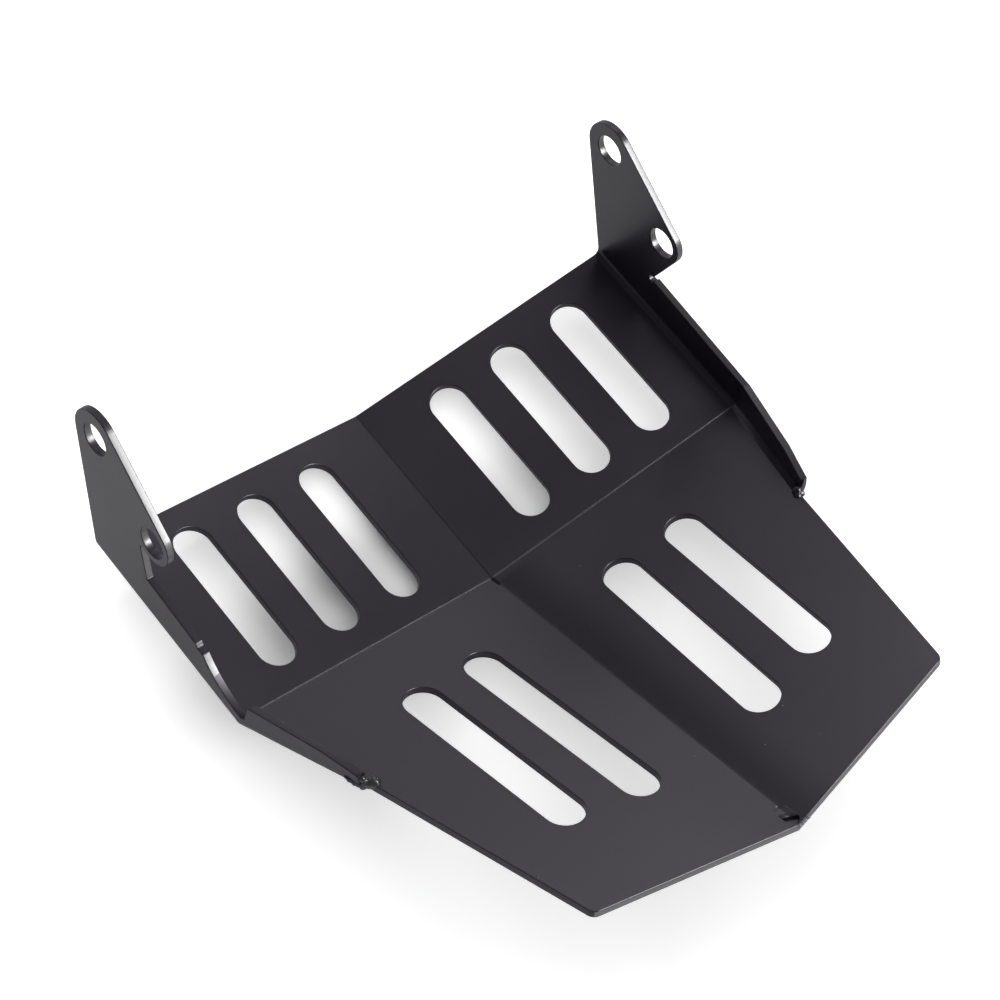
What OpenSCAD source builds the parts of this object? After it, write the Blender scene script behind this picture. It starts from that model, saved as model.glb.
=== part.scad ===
// Motorcycle chin spoiler: a vented belly plate folded from one steel blank.
// Frame: X across the bike, +Y to the rear, +Z up, and the rear keel fold is level.
// The origin is the middle of the line through the two upper bolt holes.
// Lengths are in millimetres, angles in degrees.

/* [Sheet] */
// Thickness of the steel sheet
sheet_t = 2.5; // [1.5:0.1:3.5]
// Inside radius of the bends that raise the side flanges
bend_r = 2.5; // [1.5:0.5:5]
// Inside radius of the shallow keel folds
keel_r = 4; // [2:0.5:8]

/* [Belly] */
// Clear width between the feet of the two side flanges
inner_w = 199; // [190:1:230]
// Length of the level rear half, along the keel
rear_l = 70; // [66:1:74]
// Angle by which each belly panel rises from the keel towards its side
vee_a = 9.6; // [6:0.2:12]
// Angle by which the front half rises ahead of the cross fold
nose_a = 21.4; // [16:0.2:26]
// Distance from the cross fold to a front corner, square to the fold
nose_side_l = 120; // [114:1:140]
// Distance from the cross fold to the middle of the front edge, along the keel
nose_mid_l = 134.5; // [130:0.5:150]
// Distance from the middle to a front corner, parallel to the cross fold
nose_half_w = 77.5; // [72:0.5:82]
// Distance from the middle to a side edge of the nose, just ahead of its tab
nose_shoulder_w = 90.5; // [90:0.5:96]
// Radius of the two front corners
nose_corner_r = 3; // [1:0.5:8]

/* [Vent slots] */
// Width of every slot
slot_w = 13; // [8:0.5:16]
// Distance from one slot to the next
slot_pitch = 25; // [20:0.5:26]
// Slots in each rear panel
rear_slots = 3; // [1:1:3]
// Length of a rear slot
rear_slot_l = 54; // [30:1:58]
// Distance from the keel to the first rear slot
rear_slot_at = 27; // [20:0.5:29]
// Slots in each front panel
front_slots = 2; // [1:1:2]
// Length of the front slot next to the keel
front_slot_l = 76.5; // [40:0.5:84]
// Amount by which the next front slot is shorter
front_slot_step = 5.6; // [0:0.2:10]
// Distance from the middle to the first front slot
front_slot_at = 30.3; // [24:0.1:33]
// Distance from the cross fold to the rear end of the front slots
front_slot_gap = 22; // [14:0.5:28]

/* [Ears] */
// Diameter of the four bolt holes
hole_d = 10.5; // [6:0.5:12]
// Distance of the upper holes behind the cross fold
upper_y = 79; // [76:0.5:90]
// Height of the upper holes above the rear keel
upper_z = 63.5; // [60:0.5:80]
// Distance of the lower holes behind the cross fold
lower_y = 48.5; // [46:0.5:51]
// Height of the lower holes above the rear keel
lower_z = 49.5; // [48:0.5:53]
// Radius of the rounded ear top
ear_top_r = 9.8; // [8.5:0.1:12]
// Radius of the rounded lobe round the lower hole
ear_low_r = 7.6; // [7.2:0.1:8.2]

/* [Side flanges] */
// Angle by which the flanges lean in towards the engine
lean_a = 2.5; // [0:0.5:5]
// Height of the flange's top edge at the foot of the ear, above the rear keel
flange_rear_z = 30.5; // [29.5:0.5:33]
// Height of the flange's top edge at the cross fold
flange_mid_z = 28; // [26.5:0.5:30]
// Distance of the ear's foot behind the cross fold
ear_foot_y = 47; // [45:0.5:49]
// Distance ahead of the cross fold to the knee in a tab's top edge
tab_knee_l = 26; // [20:1:28]
// Height of that knee above the rear keel
tab_knee_z = 33.8; // [32:0.2:36]
// Distance ahead of the cross fold to the front end of a tab's top edge
tab_l = 38; // [30:1:44]
// Width of the relief cut at the front end of a tab
tab_relief = 0.6; // [0.4:0.1:1.5]
// Height of a tab's top edge at its front end
tab_end_z = 34.4; // [33:0.2:38]
// Angle by which the tab turns in towards the nose
tab_a = 13.2; // [9:0.2:16]
// Radius of the little relief notch at the foot of the right ear
notch_r = 1.3; // [0.8:0.1:2]

/* [Left flange cut-outs] */
// Distance of the small step at the scallop's rear end behind the cross fold
step_y = 22.7; // [22:0.1:24]
// Height of the ledge in front of that step, above the rear keel
step_z = 28.2; // [27:0.1:28.8]
// Radius of the long scallop in the flange's top edge
scallop_r = 30; // [26:0.5:34]
// Height of the scallop's lowest point above the rear keel
scallop_z = 21.5; // [21:0.1:25]
// Gap between the cross fold and the rear end of the left tab
tab_gap = 2; // [1:0.5:4]
// Radius at the closed end of the undercut below the left ear's lobe
undercut_r = 1.4; // [1:0.1:2]

/* [Nose seam] */
// Depth of the two hollows left in the welded nose seam
hollow_d = 0.9; // [0.3:0.1:1.3]
// Width of the hollow near the front edge
front_hollow_w = 4.4; // [3:0.2:6]
// Length of the hollow near the front edge
front_hollow_l = 8; // [6:0.5:12]
// Distance between that hollow and the front edge
front_hollow_gap = 1; // [1:0.2:4]
// Width of the hollow where the folds meet
rear_hollow_w = 1.4; // [1:0.1:2.5]
// Length of the hollow where the folds meet
rear_hollow_l = 4; // [3:0.5:6]

/* [Hidden] */
$fn = 96;
SHEET_BLACK = [0.20, 0.19, 0.21];
// Size of the construction blocks, well past every edge of the plate
reach = 400;
// Every round is this much larger than its tangent circle, so that it crosses the sides it joins
blend = 0.003;
// Angle between a rear and a front panel, across the cross fold
fold_a = atan(tan(nose_a) * cos(vee_a));
// Rise of the front panels as seen along the nose keel
nose_vee_a = atan(tan(vee_a) * cos(nose_a));
// Angle in a front panel between the nose keel and the square to the cross fold
keel_skew_a = asin(sin(vee_a) * sin(nose_a));
// Sharp inner foot of a flange: half the clear width, height, distance along the panel
foot_x = inner_w / 2;
foot_z = foot_x * tan(vee_a);
foot_p = foot_x / cos(vee_a);
// Tilt of a flange, and of a tab, out of the square to its panel
flange_tilt_a = vee_a - lean_a;
tab_tilt_a = atan((cos(tab_a) * tan(flange_tilt_a) + sin(tab_a) * sin(fold_a)) / cos(fold_a));
// Where a tab ends at its foot, measured forward along its panel
tab_end_s = (tab_l + (tab_end_z - nose_shoulder_w * sin(vee_a)) * tan(nose_a))
    / (cos(fold_a) + cos(vee_a) * sin(fold_a) * tan(nose_a));
// Where the bend of a tab starts at that end, measured across its panel
tab_end_p = foot_p + bend_centre(tab_tilt_a)[0] / cos(tab_a) - tab_end_s * tan(tab_a);
// Corners of the front edge in a panel's own axes, across and forward
nose_mid = nose_mid_l * [sin(keel_skew_a), -cos(keel_skew_a)];
nose_corner = [nose_half_w, -nose_side_l];
nose_shoulder = [nose_shoulder_w, -tab_end_s - tab_relief];
// Front end of a tab in the side view: top corner, and a point well below the sheet
low_z = -reach / 8;
tab_top = [-tab_l, tab_end_z];
tab_low = [-tab_l - (tab_end_z - low_z) * tan(nose_a), low_z];
// Bolt holes and ear foot in the side view, rearward and up
upper_hole = [upper_y, upper_z];
lower_hole = [lower_y, lower_z];
ear_foot = [ear_foot_y, flange_rear_z];
// Half the run of the sloping step at the scallop's rear end
step_edge = 1;
// Centre of the undercut's closed end, against the round of the lobe at that angle
undercut_a = -72;
undercut_end = lower_hole + (ear_low_r + undercut_r / 2) * dir(undercut_a);

function dir(a) = [cos(a), sin(a)];
function unit(v) = v / norm(v);
function angle_to(from, to) = atan2(to[1] - from[1], to[0] - from[0]);
// Point where a line from p touches a circle, on its left (side = 1) or right (side = -1)
function touch(p, c, r, side) =
    p + sqrt(pow(norm(c - p), 2) - r * r) * dir(angle_to(p, c) + side * asin(r / norm(c - p)));
// Angle from both centres to the line that touches two circles on the right of their centres
function shared_touch_a(c1, r1, c2, r2) = angle_to(c1, c2) - acos((r1 - r2) / norm(c2 - c1));
// Inner face of a flange at a height, moved out by d
function flange_x(z, d) = foot_x - (z - foot_z) * tan(lean_a) + d / cos(lean_a);
// Centre of a side bend, from the sharp inner corner between panel and wall
function bend_centre(tilt) = [-bend_r * (1 - sin(tilt)) / cos(tilt), bend_r];
// Centre of a circle that rounds corner b of the outline a, b, c
function round_centre(a, b, c, r) =
    let (u = unit(a - b), v = unit(c - b)) b + unit(u + v) * r / sin(acos(u * v) / 2);
// Point where that circle leaves the side that runs from b to a
function round_end(a, b, c, r) =
    let (u = unit(a - b), v = unit(c - b)) b + u * r / tan(acos(u * v) / 2);

// Section of the room above two panels that rise from a keel, grown by d
module keel_room2d(rise, d) {
    drop = d / cos(rise);
    side_z = reach * tan(rise) - drop;
    touch_x = (keel_r + d) * sin(rise);
    centre_z = keel_r / cos(rise);
    difference() {
        polygon([[0, -drop], [reach, side_z], [reach, reach], [-reach, reach], [-reach, side_z]]);
        translate([-touch_x, -reach]) square([2 * touch_x, reach + centre_z]);
    }
    translate([0, centre_z]) circle(keel_r + d + blend);
}

// What a rounded bend takes off the sharp corner between a panel and its wall
module bend_waste2d(tilt, d) {
    centre = bend_centre(tilt);
    touch_r = bend_r + d;
    past = 1;
    difference() {
        polygon([
            centre,
            [centre[0], -d - past],
            [d * (1 - sin(tilt)) / cos(tilt) + past, -d - past],
            centre + (touch_r + past) * [cos(tilt), -sin(tilt)]
        ]);
        translate(centre) circle(touch_r + blend);
    }
}

// Section of the room above the rear panels and between the flanges, grown by d
module rear_room2d(d) {
    high = reach / 2;
    low_x = flange_x(-high, d);
    high_x = flange_x(high, d);
    difference() {
        intersection() {
            keel_room2d(vee_a, d);
            polygon([[-low_x, -high], [low_x, -high], [high_x, high], [-high_x, high]]);
        }
        mirrored_pair() translate([foot_x, foot_z]) rotate(vee_a) bend_waste2d(flange_tilt_a, d);
    }
}

// Section of the room inboard of a tab, from the sharp inner corner at its foot
module tab_room2d(d) {
    high = reach / 2;
    difference() {
        polygon([
            [-reach, -high],
            [d / cos(tab_tilt_a) - high * tan(tab_tilt_a), -high],
            [d / cos(tab_tilt_a) + high * tan(tab_tilt_a), high],
            [-reach, high]
        ]);
        bend_waste2d(tab_tilt_a, d);
    }
}

// Room above the whole belly, grown by d: the sheet lies between room(0) and room(sheet_t)
module room(d) {
    intersection() {
        along_keel() rear_room2d(d);
        rotate([-nose_a, 0, 0]) along_keel() keel_room2d(nose_vee_a, d);
        tab_room(d);
        mirror([1, 0, 0]) tab_room(d);
    }
}

module tab_room(d) {
    front_panel_axes() translate([foot_p, 0, 0]) rotate([0, 0, -tab_a]) along_keel() tab_room2d(d);
}

// Runs a section, drawn across and up, both ways along Y
module along_keel() {
    rotate([90, 0, 0]) translate([0, 0, -reach / 2]) linear_extrude(reach) children();
}

// Runs a side view, drawn rearward and up, from x = from to x = to
module across(from, to) {
    rotate([90, 0, 90]) translate([0, 0, from]) linear_extrude(to - from) children();
}

// Own axes of the right-hand panels: across along X, forward along -Y, square to the panel along Z
module rear_panel_axes() {
    rotate([0, -vee_a, 0]) children();
}

module front_panel_axes() {
    rear_panel_axes() rotate([-fold_a, 0, 0]) children();
}

module mirrored_pair() {
    children();
    mirror([1, 0, 0]) children();
}

// Side view of the flange, the tab ahead of it and the ear with its round top and lower lobe
module side_outline2d() {
    shared_a = shared_touch_a(upper_hole, ear_top_r, lower_hole, ear_low_r);
    polygon([
        [rear_l, low_z],
        [rear_l, foot_z],
        touch([rear_l, foot_z], upper_hole, ear_top_r, -1),
        upper_hole + ear_top_r * dir(shared_a),
        lower_hole + ear_low_r * dir(shared_a),
        touch(ear_foot, lower_hole, ear_low_r, 1),
        ear_foot,
        [0, flange_mid_z],
        [-tab_knee_l, tab_knee_z],
        tab_top,
        tab_low
    ]);
    translate(upper_hole) circle(ear_top_r + blend);
    translate(lower_hole) circle(ear_low_r + blend);
}

// Wedge cut in under the left ear's lobe, seen from the side
module undercut2d() {
    difference() {
        union() {
            polygon([
                ear_foot,
                touch(ear_foot, undercut_end, undercut_r, -1),
                undercut_end,
                lower_hole,
                lower_hole - [2 * ear_low_r, 0]
            ]);
            translate(undercut_end) circle(undercut_r + blend);
        }
        translate(lower_hole) circle(ear_low_r + blend);
    }
}

// Scallop in the left flange, from its small rear step to the square rear end of the tab
module scallop2d() {
    intersection() {
        translate([0, scallop_z + scallop_r]) circle(scallop_r);
        translate([-tab_gap, 0]) square(2 * scallop_r);
    }
    translate([0, step_z]) polygon([
        [0, 0],
        [step_y - step_edge, 0],
        [step_y + step_edge, 2 * step_edge],
        [0, 2 * step_edge]
    ]);
}

// Belly, flanges, tabs and ears, bent up from the flat and not yet pierced
module folded_sides() {
    intersection() {
        difference() {
            room(sheet_t);
            room(0);
        }
        across(-reach / 2, reach / 2) side_outline2d();
    }
}

// Outline of the right front panel in its own axes, run on past the keel to the left
module nose_outline2d() {
    start_s = tab_end_s / 2;
    inset_p = tab_end_p - sheet_t / 2;
    run_on = nose_mid + 2 * (nose_mid - nose_corner);
    polygon([
        [run_on[0], -start_s],
        [inset_p, -start_s],
        [inset_p, nose_shoulder[1]],
        nose_shoulder,
        round_end(nose_shoulder, nose_corner, nose_mid, nose_corner_r),
        round_end(nose_mid, nose_corner, nose_shoulder, nose_corner_r),
        run_on
    ]);
    translate(round_centre(nose_shoulder, nose_corner, nose_mid, nose_corner_r))
        circle(nose_corner_r + blend);
}

module nose_prism() {
    front_panel_axes() linear_extrude(reach / 4, center = true) nose_outline2d();
}

// The two front panels, with every edge square to the sheet
module nose_panels() {
    intersection() {
        rotate([-nose_a, 0, 0]) along_keel() difference() {
            keel_room2d(nose_vee_a, sheet_t);
            keel_room2d(nose_vee_a, 0);
        }
        nose_prism();
        mirror([1, 0, 0]) nose_prism();
    }
}

// A slot that is round at both ends, drawn lengthwise along Y about its middle
module slot2d(width, length) {
    straight = length - width;
    square([width, straight], center = true);
    for (end = [-straight / 2, straight / 2])
        translate([0, end]) circle(width / 2 + blend);
}

// Cutters for the slots of the right-hand panels
module slots() {
    depth = 8 * sheet_t;
    rear_panel_axes() for (i = [0 : rear_slots - 1])
        translate([rear_slot_at + i * slot_pitch, rear_l / 2, 0])
            linear_extrude(depth, center = true) slot2d(slot_w, rear_slot_l);
    front_panel_axes() for (i = [0 : front_slots - 1]) {
        slot_l = front_slot_l - i * front_slot_step;
        translate([front_slot_at + i * slot_pitch, -front_slot_gap - slot_l / 2, 0])
            linear_extrude(depth, center = true) slot2d(slot_w, slot_l);
    }
}

// Cutters for the hollows in the nose seam, down from the bottom of the rounded fold
module seam_hollows() {
    fold_lift = keel_r / cos(nose_vee_a) - keel_r;
    front_at = nose_mid_l - front_hollow_gap - front_hollow_l / 2;
    rotate([-nose_a, 0, 0]) translate([0, 0, fold_lift - hollow_d]) {
        translate([0, -front_at, 0]) linear_extrude(2 * sheet_t) slot2d(front_hollow_w, front_hollow_l);
        translate([0, -rear_hollow_l / 2, 0]) linear_extrude(2 * sheet_t) slot2d(rear_hollow_w, rear_hollow_l);
    }
}

module spoiler_plate() {
    color(SHEET_BLACK)
        translate([0, -upper_y, -upper_z])
            difference() {
                union() {
                    folded_sides();
                    nose_panels();
                }
                mirrored_pair() slots();
                seam_hollows();
                for (hole = [upper_hole, lower_hole])
                    across(-reach / 2, reach / 2) translate(hole) circle(hole_d / 2);
                across(0, reach / 2) translate(ear_foot) circle(notch_r);
                across(-reach / 2, 0) {
                    undercut2d();
                    scallop2d();
                }
            }
}

spoiler_plate();
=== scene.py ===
import math

import bmesh
import bpy
from mathutils import Matrix, Vector, noise


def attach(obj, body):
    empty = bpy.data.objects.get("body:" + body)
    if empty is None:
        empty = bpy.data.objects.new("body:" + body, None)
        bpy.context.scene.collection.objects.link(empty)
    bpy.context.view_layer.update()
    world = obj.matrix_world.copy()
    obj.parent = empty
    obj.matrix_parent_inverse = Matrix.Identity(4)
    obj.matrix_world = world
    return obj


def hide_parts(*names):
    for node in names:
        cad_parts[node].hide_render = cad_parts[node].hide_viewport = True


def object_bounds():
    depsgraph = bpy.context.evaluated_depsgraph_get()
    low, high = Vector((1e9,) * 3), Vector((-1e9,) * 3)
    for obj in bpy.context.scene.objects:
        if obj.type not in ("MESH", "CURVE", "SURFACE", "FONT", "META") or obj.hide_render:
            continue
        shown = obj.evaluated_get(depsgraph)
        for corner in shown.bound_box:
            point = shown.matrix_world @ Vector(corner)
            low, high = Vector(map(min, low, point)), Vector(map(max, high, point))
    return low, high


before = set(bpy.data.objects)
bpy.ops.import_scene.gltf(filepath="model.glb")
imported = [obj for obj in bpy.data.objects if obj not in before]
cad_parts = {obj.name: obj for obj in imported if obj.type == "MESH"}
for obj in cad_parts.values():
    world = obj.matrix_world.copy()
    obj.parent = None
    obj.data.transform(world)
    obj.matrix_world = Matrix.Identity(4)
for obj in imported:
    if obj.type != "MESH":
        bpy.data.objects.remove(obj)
cad_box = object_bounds()

# Camera: a long lens above the left front corner, rolled to the photograph's tilt.
# Its place is given as seen from the plate: azimuth, elevation and distance.
CAMERA_AZIMUTH = math.radians(-58.355)
CAMERA_ELEVATION = math.radians(58.22)
CAMERA_ROLL = math.radians(22.03)
CAMERA_DISTANCE = 0.8398
CAMERA_TARGET = Vector((0.0201, -0.0587, -0.0635))
CAMERA_LENS = 95.0
CAMERA_SENSOR = 36.0
CAMERA_CLIP_START = 0.01

toward_camera = Vector((
    math.sin(CAMERA_AZIMUTH) * math.cos(CAMERA_ELEVATION),
    -math.cos(CAMERA_AZIMUTH) * math.cos(CAMERA_ELEVATION),
    math.sin(CAMERA_ELEVATION),
))
level_right = (-toward_camera).cross(Vector((0.0, 0.0, 1.0))).normalized()
level_up = level_right.cross(-toward_camera)
camera_right = math.cos(CAMERA_ROLL) * level_right + math.sin(CAMERA_ROLL) * level_up
camera_up = -math.sin(CAMERA_ROLL) * level_right + math.cos(CAMERA_ROLL) * level_up
camera_place = CAMERA_TARGET + CAMERA_DISTANCE * toward_camera

camera_data = bpy.data.cameras.new("photo_camera")
camera_data.sensor_width = CAMERA_SENSOR
camera_data.lens = CAMERA_LENS
camera_data.clip_start = CAMERA_CLIP_START
camera = bpy.data.objects.new("photo_camera", camera_data)
bpy.context.scene.collection.objects.link(camera)
camera.matrix_world = Matrix.Translation(camera_place) @ Matrix((
    (camera_right.x, camera_up.x, toward_camera.x, 0.0),
    (camera_right.y, camera_up.y, toward_camera.y, 0.0),
    (camera_right.z, camera_up.z, toward_camera.z, 0.0),
    (0.0, 0.0, 0.0, 1.0),
))
bpy.context.scene.camera = camera

# Folded plate: one laser-cut blank of mild steel sheet, folded on a press brake. It is
# shot-blasted and powder coated satin black, and the film has a fine orange peel. The cross
# fold and the cut edges that face forward are coloured paler: painted highlights.
SHEET_THICK = 0.0025
CROSS_FOLD_Y = -0.079

# Rounding by the coat's film: edges sharper than EDGE_ANGLE are cut edges, those between
# FOLD_ANGLE and it are folds, and flatter ones belong to a bend that is round already.
FOLD_ROUND, FOLD_ROUND_STEPS = 0.00035, 3
EDGE_ROUND, EDGE_ROUND_STEPS = 0.00028, 2
FOLD_ANGLE = math.radians(13.0)
EDGE_ANGLE = math.radians(32.0)
FLAT_ANGLE = math.radians(0.6)
WELDED_GAP = 0.00006

# The coat's colours and roughness, on the panels and the cut edges, and the paler painted
# highlights on the cross fold and on the cut edges that face forward.
COAT_COLOUR, COAT_ROUGHNESS = (0.0058, 0.0046, 0.0082), 0.34
COAT_SHEEN_COLOUR = (0.93, 0.87, 1.0, 1.0)
CUT_EDGE_COLOUR, CUT_EDGE_ROUGHNESS = (0.0060, 0.0050, 0.0080), 0.42
LEADING_EDGE_PAINTED_HIGHLIGHT_COLOUR, LEADING_EDGE_ROUGHNESS = (0.11, 0.11, 0.11), 0.30
CROSS_FOLD_PAINTED_HIGHLIGHT_COLOUR, CROSS_FOLD_ROUGHNESS = (0.030, 0.028, 0.033), 0.26
COAT_IOR = 1.55
COAT_SHINE = 0.5
ORANGE_PEEL_SCALE, ORANGE_PEEL_DETAIL = 900.0, 2.0
ORANGE_PEEL_STRENGTH, ORANGE_PEEL_DEPTH = 0.14, 0.0001
BLOTCH_SCALE, BLOTCH_DETAIL = 26.0, 3.0
BLOTCH_SPREAD, BLOTCH_TONES, BLOTCH_GLOSS = (0.3, 0.7), (0.86, 1.14), 0.03
SPECK_COLOUR = (0.11, 0.11, 0.105)
SPECK_SCALE, SPECK_EDGE, SPECK_RARITY = 230.0, (0.035, 0.065), 0.94

# Where each fade of the painted shade starts and ends: along Y at the cross fold, and along X
# on either side of the nose keel and out from the rear keel.
CROSS_FOLD_SHADE_FADE = (-0.083, -0.079)
NOSE_SHADE_LEFT, NOSE_SHADE_RIGHT, NOSE_SHADE_LOSS = (-0.0005, 0.0014), (0.0035, 0.019), 0.20
KEEL_SHADE_WIDTH, KEEL_SHADE_LOSS = (0.00015, 0.00055), 0.24


def maths(tree, operation, first, second=0.0):
    """The result of a Math node whose inputs are sockets or plain numbers."""
    node = tree.nodes.new("ShaderNodeMath")
    node.operation = operation
    for socket, value in zip(node.inputs, (first, second)):
        if isinstance(value, float):
            socket.default_value = value
        else:
            tree.links.new(value, socket)
    return node.outputs["Value"]


def mapped(tree, value, from_range, to_range, interpolation="SMOOTHSTEP"):
    """The result of a Map Range node that takes one range to another, and stops at its ends."""
    node = tree.nodes.new("ShaderNodeMapRange")
    node.interpolation_type = interpolation
    node.inputs["From Min"].default_value, node.inputs["From Max"].default_value = from_range
    node.inputs["To Min"].default_value, node.inputs["To Max"].default_value = to_range
    tree.links.new(value, node.inputs["Value"])
    return node.outputs["Result"]


def cloud(tree, place, scale, detail):
    """The grey value of a noise texture."""
    node = tree.nodes.new("ShaderNodeTexNoise")
    node.inputs["Scale"].default_value = scale
    node.inputs["Detail"].default_value = detail
    tree.links.new(place, node.inputs["Vector"])
    return node.outputs["Fac"]


def powder_coat(name, colour, roughness, sheen_colour=(1.0, 1.0, 1.0, 1.0)):
    material = bpy.data.materials.new(name)
    material.use_nodes = True
    tree = material.node_tree
    shader = tree.nodes["Principled BSDF"]
    shader.inputs["Metallic"].default_value = 0.0
    shader.inputs["IOR"].default_value = COAT_IOR
    shader.inputs["Specular Tint"].default_value = sheen_colour
    place = tree.nodes.new("ShaderNodeTexCoord").outputs["Object"]

    # The film is a little uneven in tone and gloss, in soft blotches.
    blotch = cloud(tree, place, BLOTCH_SCALE, BLOTCH_DETAIL)
    film = tree.nodes.new("ShaderNodeValToRGB")
    for stop, position, tone in zip(film.color_ramp.elements, BLOTCH_SPREAD, BLOTCH_TONES):
        stop.position = position
        stop.color = (*[tone * part for part in colour], 1.0)
    tree.links.new(blotch, film.inputs["Fac"])
    gloss_range = (roughness - BLOTCH_GLOSS, roughness + BLOTCH_GLOSS)
    gloss = mapped(tree, blotch, BLOTCH_SPREAD, gloss_range, "LINEAR")
    tree.links.new(gloss, shader.inputs["Roughness"])

    # Dust caught in the film: one cell in about sixteen holds a small pale speck.
    specks = tree.nodes.new("ShaderNodeTexVoronoi")
    specks.inputs["Scale"].default_value = SPECK_SCALE
    tree.links.new(place, specks.inputs["Vector"])
    speck_pick = tree.nodes.new("ShaderNodeSeparateColor")
    tree.links.new(specks.outputs["Color"], speck_pick.inputs["Color"])
    speck_size = mapped(tree, specks.outputs["Distance"], SPECK_EDGE, (1.0, 0.0), "LINEAR")
    speck_chosen = maths(tree, "GREATER_THAN", speck_pick.outputs["Red"], SPECK_RARITY)
    speck_tone = tree.nodes.new("ShaderNodeMix")
    speck_tone.data_type = "RGBA"
    tree.links.new(maths(tree, "MULTIPLY", speck_size, speck_chosen), speck_tone.inputs["Factor"])
    tree.links.new(film.outputs["Color"], speck_tone.inputs["A"])
    speck_tone.inputs["B"].default_value = (*SPECK_COLOUR, 1.0)
    tree.links.new(speck_tone.outputs["Result"], shader.inputs["Base Color"])

    # Painted shade: the coat's shine is lowered where the folds' shading falls, in a band right
    # of the nose keel and in a hairline along the rear keel.
    axes = tree.nodes.new("ShaderNodeSeparateXYZ")
    tree.links.new(place, axes.inputs["Vector"])
    across, along = axes.outputs["X"], axes.outputs["Y"]
    nose_band = maths(tree, "MULTIPLY",
                      mapped(tree, across, NOSE_SHADE_LEFT, (0.0, NOSE_SHADE_LOSS)),
                      mapped(tree, across, NOSE_SHADE_RIGHT, (1.0, 0.0)))
    nose_painted_shade = maths(tree, "MULTIPLY", nose_band, mapped(tree, along, CROSS_FOLD_SHADE_FADE, (1.0, 0.0)))
    from_keel = maths(tree, "ABSOLUTE", across)
    keel_painted_shade = maths(tree, "MULTIPLY",
                     mapped(tree, from_keel, KEEL_SHADE_WIDTH, (KEEL_SHADE_LOSS, 0.0)),
                     mapped(tree, along, CROSS_FOLD_SHADE_FADE, (0.0, 1.0)))
    shine = maths(tree, "SUBTRACT", COAT_SHINE, maths(tree, "ADD", nose_painted_shade, keel_painted_shade))
    tree.links.new(shine, shader.inputs["Specular IOR Level"])

    peel = cloud(tree, place, ORANGE_PEEL_SCALE, ORANGE_PEEL_DETAIL)
    peel_bump = tree.nodes.new("ShaderNodeBump")
    peel_bump.inputs["Strength"].default_value = ORANGE_PEEL_STRENGTH
    peel_bump.inputs["Distance"].default_value = ORANGE_PEEL_DEPTH
    tree.links.new(peel, peel_bump.inputs["Height"])
    tree.links.new(peel_bump.outputs["Normal"], shader.inputs["Normal"])
    return material


satin_black = powder_coat("satin_black_powder_coat", COAT_COLOUR, COAT_ROUGHNESS,
                          COAT_SHEEN_COLOUR)
edge_black = powder_coat("thin_coat_on_cut_edge", CUT_EDGE_COLOUR, CUT_EDGE_ROUGHNESS,
                         COAT_SHEEN_COLOUR)
# Pale grey on the cut edges that face forward, on the nose and up the ears' fronts: a painted
# highlight.
painted_highlight_grey = powder_coat("leading_edge_painted_highlight", LEADING_EDGE_PAINTED_HIGHLIGHT_COLOUR, LEADING_EDGE_ROUGHNESS)
# Paler grey on the upper faces of the cross fold's rounding: a painted highlight along the fold.
fold_painted_highlight = powder_coat("cross_fold_painted_highlight", CROSS_FOLD_PAINTED_HIGHLIGHT_COLOUR, CROSS_FOLD_ROUGHNESS)

bent_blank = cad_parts["spoiler_plate"]
for slot in bent_blank.material_slots:
    slot.material = satin_black

# Limits that tell the plate's faces apart.
PLATE_FACES, CUT_FACES, LEADING_FACES, CROSS_FOLD_FACES = 0, 1, 2, 3
CUT_FACE_WIDTH = 1.15 * SHEET_THICK
CUT_FACE_END = 1.4 * SHEET_THICK
LEADING_NORMAL_Y, LEADING_NORMAL_X = -0.4, 0.6
NOSE_EDGE_Y, EAR_SHEET_X = -0.185, 0.0965
CROSS_FOLD_BAND, CROSS_FOLD_REACH, CROSS_FOLD_NORMAL_Z = 0.0015, 0.095, 0.5
FOLD_MEETING_X, FOLD_MEETING_Y = 0.006, 0.011
RELIEF_CUT_X, RELIEF_CUT_Y, RELIEF_CUT_TOP = 0.080, (-0.1235, -0.1150), -0.0300


def is_cut_face(face):
    """Faces of the sheet's thickness: narrow, and running on smoothly only at their ends."""
    longest = max(edge.calc_length() for edge in face.edges)
    smooth = [edge.calc_length() for edge in face.edges
              if abs(edge.calc_face_angle(math.pi)) < EDGE_ANGLE]
    is_narrow = face.calc_area() < CUT_FACE_WIDTH * longest
    return is_narrow and max(smooth, default=0.0) < CUT_FACE_END


def is_leading_face(face):
    """Cut faces that look forward, on the nose and up the front of the ears."""
    middle = face.calc_center_median()
    looks_forward = face.normal.y < LEADING_NORMAL_Y and abs(face.normal.x) < LEADING_NORMAL_X
    return looks_forward and (middle.y < NOSE_EDGE_Y or abs(middle.x) > EAR_SHEET_X)


def is_on_cross_fold(face):
    """Upper faces of the rounding where the rear panels meet the front ones."""
    middle = face.calc_center_median()
    is_near = abs(middle.y - CROSS_FOLD_Y) < CROSS_FOLD_BAND and abs(middle.x) < CROSS_FOLD_REACH
    return is_near and face.normal.z > CROSS_FOLD_NORMAL_Z


def is_crowded(edge):
    """Too little room to round an edge: where the folds meet, and in the tabs' relief cuts."""
    middle = (edge.verts[0].co + edge.verts[1].co) / 2
    at_fold_meeting = (abs(middle.x) < FOLD_MEETING_X
                       and abs(middle.y - CROSS_FOLD_Y) < FOLD_MEETING_Y)
    in_relief_cut = (abs(middle.x) > RELIEF_CUT_X and middle.z < RELIEF_CUT_TOP
                     and RELIEF_CUT_Y[0] < middle.y < RELIEF_CUT_Y[1])
    return at_fold_meeting or in_relief_cut


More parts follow.
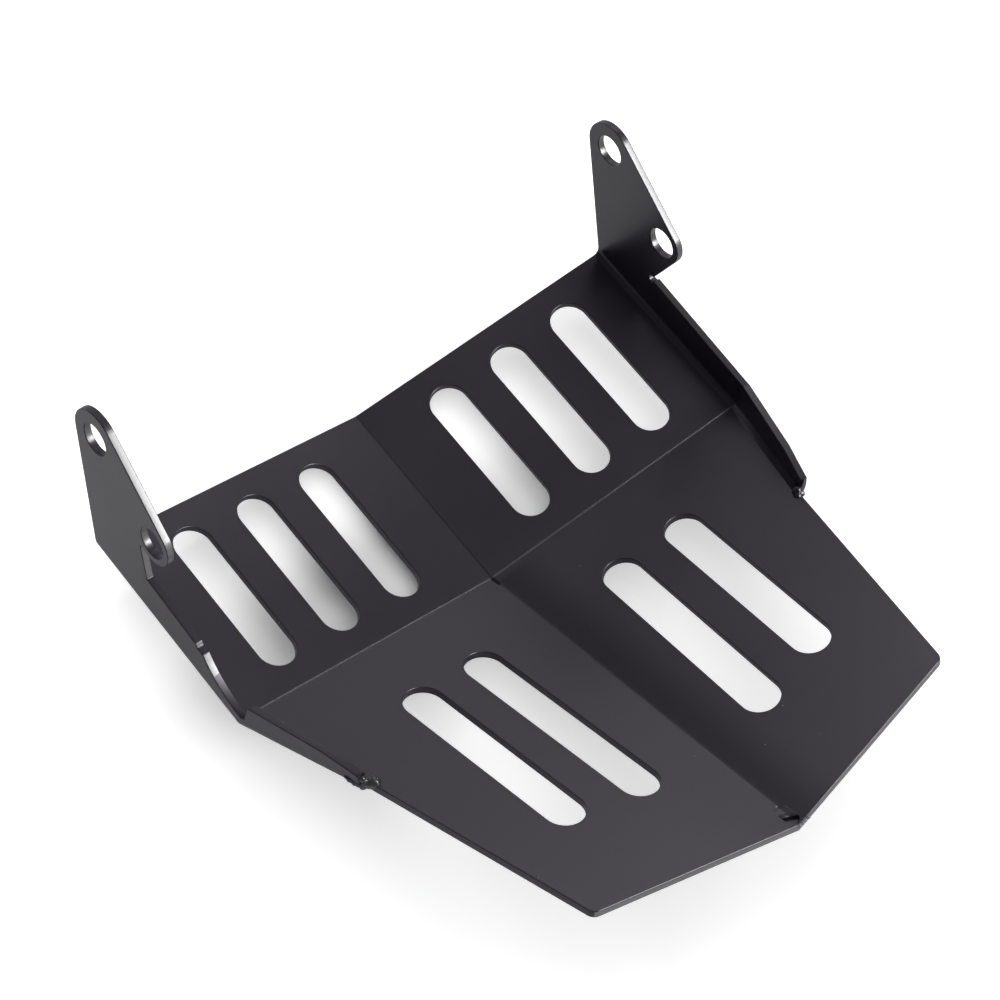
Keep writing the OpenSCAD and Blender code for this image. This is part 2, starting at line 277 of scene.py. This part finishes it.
def edges_between(mesh, least, most):
    """Edges with room to be rounded whose faces meet at an angle within the two limits."""
    return [edge for edge in mesh.edges
            if edge.is_manifold and least < abs(edge.calc_face_angle()) <= most
            and not is_crowded(edge)]


def round_off(mesh, edges, size, steps):
    return bmesh.ops.bevel(mesh, geom=edges, offset=size, offset_type="OFFSET", segments=steps,
                           profile=0.5, affect="EDGES", clamp_overlap=False)["faces"]


plate_mesh = bmesh.new()
plate_mesh.from_mesh(bent_blank.data)
bmesh.ops.remove_doubles(plate_mesh, verts=plate_mesh.verts, dist=WELDED_GAP)
bmesh.ops.dissolve_degenerate(plate_mesh, edges=plate_mesh.edges, dist=WELDED_GAP)
bmesh.ops.dissolve_limit(plate_mesh, angle_limit=FLAT_ANGLE, verts=plate_mesh.verts,
                         edges=plate_mesh.edges)
folds = edges_between(plate_mesh, FOLD_ANGLE, EDGE_ANGLE)
rounded_folds = round_off(plate_mesh, folds, FOLD_ROUND, FOLD_ROUND_STEPS)
plate_mesh.normal_update()
cross_fold = {face for face in rounded_folds if is_on_cross_fold(face)}
for face in plate_mesh.faces:
    if face in cross_fold:
        face.material_index = CROSS_FOLD_FACES
    elif is_leading_face(face):
        face.material_index = LEADING_FACES
    elif is_cut_face(face):
        face.material_index = CUT_FACES
    else:
        face.material_index = PLATE_FACES
cut_edges = edges_between(plate_mesh, EDGE_ANGLE, math.pi)
round_off(plate_mesh, cut_edges, EDGE_ROUND, EDGE_ROUND_STEPS)
bmesh.ops.recalc_face_normals(plate_mesh, faces=plate_mesh.faces)
for face in plate_mesh.faces:
    face.smooth = True

coated_data = bpy.data.meshes.new("coated_plate")
plate_mesh.to_mesh(coated_data)
plate_mesh.free()
for material in (satin_black, edge_black, painted_highlight_grey, fold_painted_highlight):
    coated_data.materials.append(material)
coated_plate = bpy.data.objects.new("coated_plate", coated_data)
bpy.context.scene.collection.objects.link(coated_plate)
flat_shading = coated_plate.modifiers.new("flat_shading", "WEIGHTED_NORMAL")
flat_shading.keep_sharp = True
flat_shading.weight = 100
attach(coated_plate, "root")
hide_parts("spoiler_plate")

# Welds: short beads of MIG weld that close the relief cut at the front end of each tab, left
# lumpy as laid, and one nib in the coat on the nose. The beads are coated with the plate, and
# the film lies smoother and shinier on the left one; its paler tone there and on the nib is a
# painted highlight.
WELD_LUMPS = {
    "tab_weld_left": (
        ((-0.0884, -0.1178, -0.0311), 0.0011),
        ((-0.0877, -0.1187, -0.0327), 0.0014),
        ((-0.0866, -0.1194, -0.0331), 0.0019),
        ((-0.0856, -0.1200, -0.0328), 0.0021),
        ((-0.0880, -0.1186, -0.0338), 0.0017),
    ),
    "tab_weld_run_left": (
        ((-0.0905, -0.1140, -0.0334), 0.0010),
        ((-0.0900, -0.1152, -0.0335), 0.0014),
        ((-0.0893, -0.1164, -0.0336), 0.0016),
        ((-0.0885, -0.1176, -0.0337), 0.0017),
    ),
    "tab_weld_right": (
        ((0.0866, -0.1180, -0.0332), 0.0017),
        ((0.0857, -0.1194, -0.0335), 0.0013),
        ((0.0872, -0.1194, -0.0334), 0.0011),
    ),
    "coat_nib": (
        ((-0.0727, -0.1727, -0.0147), 0.0005),
        ((-0.0722, -0.1723, -0.0149), 0.0004),
    ),
}
DULL_WELDS = ("tab_weld_run_left", "tab_weld_right")
WELD_COAT_COLOUR, WELD_COAT_ROUGHNESS = (0.026, 0.025, 0.028), 0.28
WELD_GRAIN = 0.00014
LUMP_FINENESS = 3
SWELL_SHARE, SWELL_SCALE, SWELL_SHIFT = 0.14, 900.0, 5000.0


def lay_weld(name, lumps, material):
    """Fuses lumps, each given by its middle and radius, into one closed bead."""
    bead = bmesh.new()
    for middle, radius in lumps:
        ball = bmesh.ops.create_icosphere(bead, subdivisions=LUMP_FINENESS, radius=radius)
        for vert in ball["verts"]:
            bump = noise.noise(vert.co * SWELL_SCALE + Vector(middle) * SWELL_SHIFT)
            vert.co = vert.co * (1.0 + SWELL_SHARE * bump) + Vector(middle)
    data = bpy.data.meshes.new(name)
    bead.to_mesh(data)
    bead.free()
    weld = bpy.data.objects.new(name, data)
    bpy.context.scene.collection.objects.link(weld)
    fuse = weld.modifiers.new("fuse", "REMESH")
    fuse.mode = "VOXEL"
    fuse.voxel_size = WELD_GRAIN
    fuse.use_smooth_shade = True
    bpy.context.view_layer.update()
    shaped = weld.evaluated_get(bpy.context.evaluated_depsgraph_get())
    fused = bpy.data.meshes.new_from_object(shaped)
    weld.modifiers.clear()
    weld.data = fused
    fused.materials.clear()
    fused.materials.append(material)
    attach(weld, "root")


# The paler tone of this coat is a painted highlight.
weld_coat_painted_highlight = powder_coat("weld_coat_painted_highlight_material", WELD_COAT_COLOUR, WELD_COAT_ROUGHNESS)
for weld_name, weld_lumps in WELD_LUMPS.items():
    lay_weld(weld_name, weld_lumps, satin_black if weld_name in DULL_WELDS else weld_coat_painted_highlight)

# Nose seam: the keel of the front panels is welded up flush and ground from the fold towards
# the edge. The weld stops 4 mm short in a small ridge, so a dark notch stays open ahead of it,
# and spatter from it sits on the cut edge.
REAR_KEEL_Z = -0.0635
NOSE_RISE = math.radians(21.4)
KEEL_SLOPE = 0.1575
SEAM_START, SEAM_END, SEAM_SLANT = 0.1250, 0.1306, 0.5
SEAM_HALF_WIDTH, SEAM_DEPTH = 0.0027, 0.0012
SEAM_STEP, SEAM_BACK_FADE_STEPS, SEAM_SIDE_FADE_POWER = 0.0002, 9, 4
SEAM_PROUD, SEAM_SUNK = 0.00003, 0.00018
SEAM_GRAIN, SEAM_GRAIN_SCALE = 0.00004, 1400.0
RIDGE_HEIGHT, RIDGE_SETBACK, RIDGE_WIDTH = 0.00035, 0.0006, 0.0005
SPATTER_RADIUS = 0.00075
SPATTER = (
    (0.0004, -0.2043, -0.0153),
    (0.0014, -0.2042, -0.0149),
    (0.0025, -0.2040, -0.0148),
    (0.0039, -0.2038, -0.0144),
)


def on_nose_keel(across, ahead, lift):
    """A point over the front panels by the keel: across, ahead of the cross fold, and above."""
    rise = lift + KEEL_SLOPE * abs(across)
    return (
        across,
        CROSS_FOLD_Y - ahead * math.cos(NOSE_RISE) + rise * math.sin(NOSE_RISE),
        REAR_KEEL_Z + ahead * math.sin(NOSE_RISE) + rise * math.cos(NOSE_RISE),
    )


across_steps = round(2 * SEAM_HALF_WIDTH / SEAM_STEP)
ahead_steps = round((SEAM_END - SEAM_START) / SEAM_STEP)
seam = bmesh.new()
rows = []
for i in range(ahead_steps + 1):
    row = []
    for j in range(across_steps + 1):
        across = SEAM_HALF_WIDTH * (2 * j / across_steps - 1)
        seam_end = SEAM_END + SEAM_SLANT * across
        ahead = SEAM_START + (seam_end - SEAM_START) * i / ahead_steps
        side_fade = 1.0 - (across / SEAM_HALF_WIDTH) ** SEAM_SIDE_FADE_POWER
        fill = side_fade * min(1.0, i / SEAM_BACK_FADE_STEPS)
        from_ridge = (ahead - seam_end + RIDGE_SETBACK) / RIDGE_WIDTH
        ridge = RIDGE_HEIGHT * math.exp(-from_ridge ** 2)
        grain = SEAM_GRAIN * noise.noise(Vector((across, ahead, 0.0)) * SEAM_GRAIN_SCALE)
        lift = SEAM_PROUD + (ridge + grain + SEAM_PROUD) * fill - SEAM_SUNK * (1.0 - fill)
        row.append(seam.verts.new(on_nose_keel(across, ahead, lift)))
    rows.append(row)
for back_row, front_row in zip(rows, rows[1:]):
    for j in range(across_steps):
        seam.faces.new((back_row[j], front_row[j], front_row[j + 1], back_row[j + 1]))
skirt = bmesh.ops.extrude_face_region(seam, geom=list(seam.faces))
skirt_verts = [part for part in skirt["geom"] if isinstance(part, bmesh.types.BMVert)]
drop = Vector((0.0, -math.sin(NOSE_RISE), -math.cos(NOSE_RISE))) * SEAM_DEPTH
bmesh.ops.translate(seam, vec=drop, verts=skirt_verts)
bmesh.ops.recalc_face_normals(seam, faces=seam.faces)
for face in seam.faces:
    face.smooth = True
seam_data = bpy.data.meshes.new("nose_seam_weld")
seam.to_mesh(seam_data)
seam.free()
seam_data.materials.append(satin_black)
nose_seam = bpy.data.objects.new("nose_seam_weld", seam_data)
bpy.context.scene.collection.objects.link(nose_seam)
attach(nose_seam, "root")
# The spatter takes the same pale grey: a painted highlight.
lay_weld("nose_spatter", [(place, SPATTER_RADIUS) for place in SPATTER], painted_highlight_grey)

# Stage: white paper under the plate, which glows for the camera. The camera sees the sky beyond
# the paper as white too; the plate's gloss sees it in soft grey steps. The plate's cast shadow
# stays on the paper near the plate; the glow rises outward and paints it out beyond the plate's
# edges, and it drops away in a painted shadow under the rear panels, where they come closest to
# the paper.
FLOOR_SIZE, FLOOR_MIDDLE, FLOOR_GAP = 6.0, (0.0, -0.098), 0.0005
PAPER_TONE, PAPER_ROUGHNESS = 0.9, 0.9
PAPER_LIFT, SHADOW_REACH, PAPER_WHITE_FROM = 0.45, 0.105, 0.19
PAINTED_SHADOW_PLACE = (-0.022, 0.034, 0.0)
PAINTED_SHADOW_SPREAD = (1 / 0.100, 1 / 0.036, 0.0)
PAINTED_SHADOW_FADE = 0.35
SKY_BRIGHT_SIDE = (0.60, 0.76, -0.25)
SKY_STEPS = (
    (0.44, 0.08), (0.53, 0.27), (0.565, 0.42), (0.70, 0.33),
    (0.757, 0.20), (0.80, 0.38), (0.87, 0.62), (0.925, 0.95),
)
LAMP_AIM = Vector((0.0, -0.1, -0.04))


def vector_maths(tree, operation, output, first, second=(0.0, 0.0, 0.0)):
    """A Vector Math node's output: a socket worked out with a constant vector."""
    node = tree.nodes.new("ShaderNodeVectorMath")
    node.operation = operation
    tree.links.new(first, node.inputs[0])
    node.inputs[1].default_value = second
    return node.outputs[output]


floor_place = (*FLOOR_MIDDLE, cad_box[0][2] - FLOOR_GAP)
bpy.ops.mesh.primitive_plane_add(size=FLOOR_SIZE, location=floor_place)
floor = bpy.context.object
floor.name = "floor"
paper = bpy.data.materials.new("white_paper")
paper.use_nodes = True
tree = paper.node_tree
shader = tree.nodes["Principled BSDF"]
shader.inputs["Base Color"].default_value = (PAPER_TONE, PAPER_TONE, PAPER_TONE, 1.0)
shader.inputs["Roughness"].default_value = PAPER_ROUGHNESS
shader.inputs["Specular IOR Level"].default_value = 0.0
shader.inputs["Emission Color"].default_value = (1.0, 1.0, 1.0, 1.0)
on_paper = tree.nodes.new("ShaderNodeTexCoord").outputs["Object"]
from_middle = vector_maths(tree, "LENGTH", "Value", on_paper)
# The paper's glow rises with distance from the plate: painted light that washes out the plate's
# cast shadow beyond its edges.
whiter = mapped(tree, from_middle, (SHADOW_REACH, PAPER_WHITE_FROM), (PAPER_LIFT, 1.0))
# In an ellipse under the rear panels the glow drops away: a painted shadow.
from_core = vector_maths(tree, "SUBTRACT", "Vector", on_paper, PAINTED_SHADOW_PLACE)
in_core = vector_maths(tree, "MULTIPLY", "Vector", from_core, PAINTED_SHADOW_SPREAD)
core_distance = vector_maths(tree, "LENGTH", "Value", in_core)
outside_painted_shadow = mapped(tree, core_distance, (PAINTED_SHADOW_FADE, 1.0), (0.0, 1.0))
seen_by = tree.nodes.new("ShaderNodeLightPath")
paper_glow = maths(tree, "MULTIPLY", seen_by.outputs["Is Camera Ray"],
                   maths(tree, "MULTIPLY", whiter, outside_painted_shadow))
tree.links.new(paper_glow, shader.inputs["Emission Strength"])
floor.data.materials.append(paper)

world = bpy.data.worlds.new("studio")
bpy.context.scene.world = world
world.use_nodes = True
tree = world.node_tree
background = tree.nodes["Background"]
looking = tree.nodes.new("ShaderNodeTexCoord").outputs["Generated"]
toward_bright = vector_maths(tree, "DOT_PRODUCT", "Value", looking, SKY_BRIGHT_SIDE)
turn = mapped(tree, toward_bright, (-1.0, 1.0), (0.0, 1.0), "LINEAR")
sky = tree.nodes.new("ShaderNodeValToRGB")
steps = sky.color_ramp.elements
while len(steps) < len(SKY_STEPS):
    steps.new(0.5)
for step, (position, level) in zip(steps, SKY_STEPS):
    step.position = position
    step.color = (level, level, level, 1.0)
tree.links.new(turn, sky.inputs["Fac"])
seen_by = tree.nodes.new("ShaderNodeLightPath")
backdrop = tree.nodes.new("ShaderNodeMix")
backdrop.data_type = "RGBA"
backdrop.inputs["B"].default_value = (1.0, 1.0, 1.0, 1.0)
tree.links.new(seen_by.outputs["Is Camera Ray"], backdrop.inputs["Factor"])
tree.links.new(sky.outputs["Color"], backdrop.inputs["A"])
tree.links.new(backdrop.outputs["Result"], background.inputs["Color"])
background.inputs["Strength"].default_value = 1.0


def soft_box(name, toward, distance, size, brightness, along=(1.0, 0.0, 0.0), on_matt=True,
             in_gloss=True):
    """A soft box of the given brightness, where 1 is white, with its long side along a line.
    It can be kept from lighting matt surfaces, or from showing in glossy ones."""
    box_data = bpy.data.lights.new(name, "AREA")
    box_data.shape = "RECTANGLE"
    box_data.size, box_data.size_y = size
    box_data.energy = brightness * math.pi * size[0] * size[1]
    box = bpy.data.objects.new(name, box_data)
    bpy.context.scene.collection.objects.link(box)
    away = Vector(toward).normalized()
    across = (Vector(along) - away * away.dot(Vector(along))).normalized()
    turned = Matrix((across, away.cross(across), away)).transposed().to_4x4()
    box.matrix_world = Matrix.Translation(LAMP_AIM + distance * away) @ turned
    box.visible_diffuse = on_matt
    box.visible_glossy = in_gloss


# The two soft boxes and the strip make the highlights, and the fills light the paper and
# the dark coat.
soft_box("highlight_card", (0.45, -0.56, 0.70), 1.3, (0.60, 0.60), 33.0, on_matt=False)
soft_box("low_front_box", (0.20, -0.90, 0.30), 1.4, (0.90, 0.40), 3.1)
soft_box("low_left_fill", (-0.80, -0.45, 0.38), 1.5, (1.40, 0.70), 2.3,
         along=(0.45, -0.80, 0.0), in_gloss=False)
soft_box("fold_strip", (0.47, 0.57, 0.67), 1.3, (0.80, 0.10), 7.0, along=(0.85, -0.10, -0.51))
soft_box("low_rear_fill", (-0.35, 0.85, 0.38), 1.5, (1.40, 0.70), 0.4, in_gloss=False)
soft_box("overhead_fill", (0.0, 0.0, 1.0), 1.6, (2.4, 2.4), 1.1, in_gloss=False)

bpy.context.scene.view_settings.view_transform = "Standard"
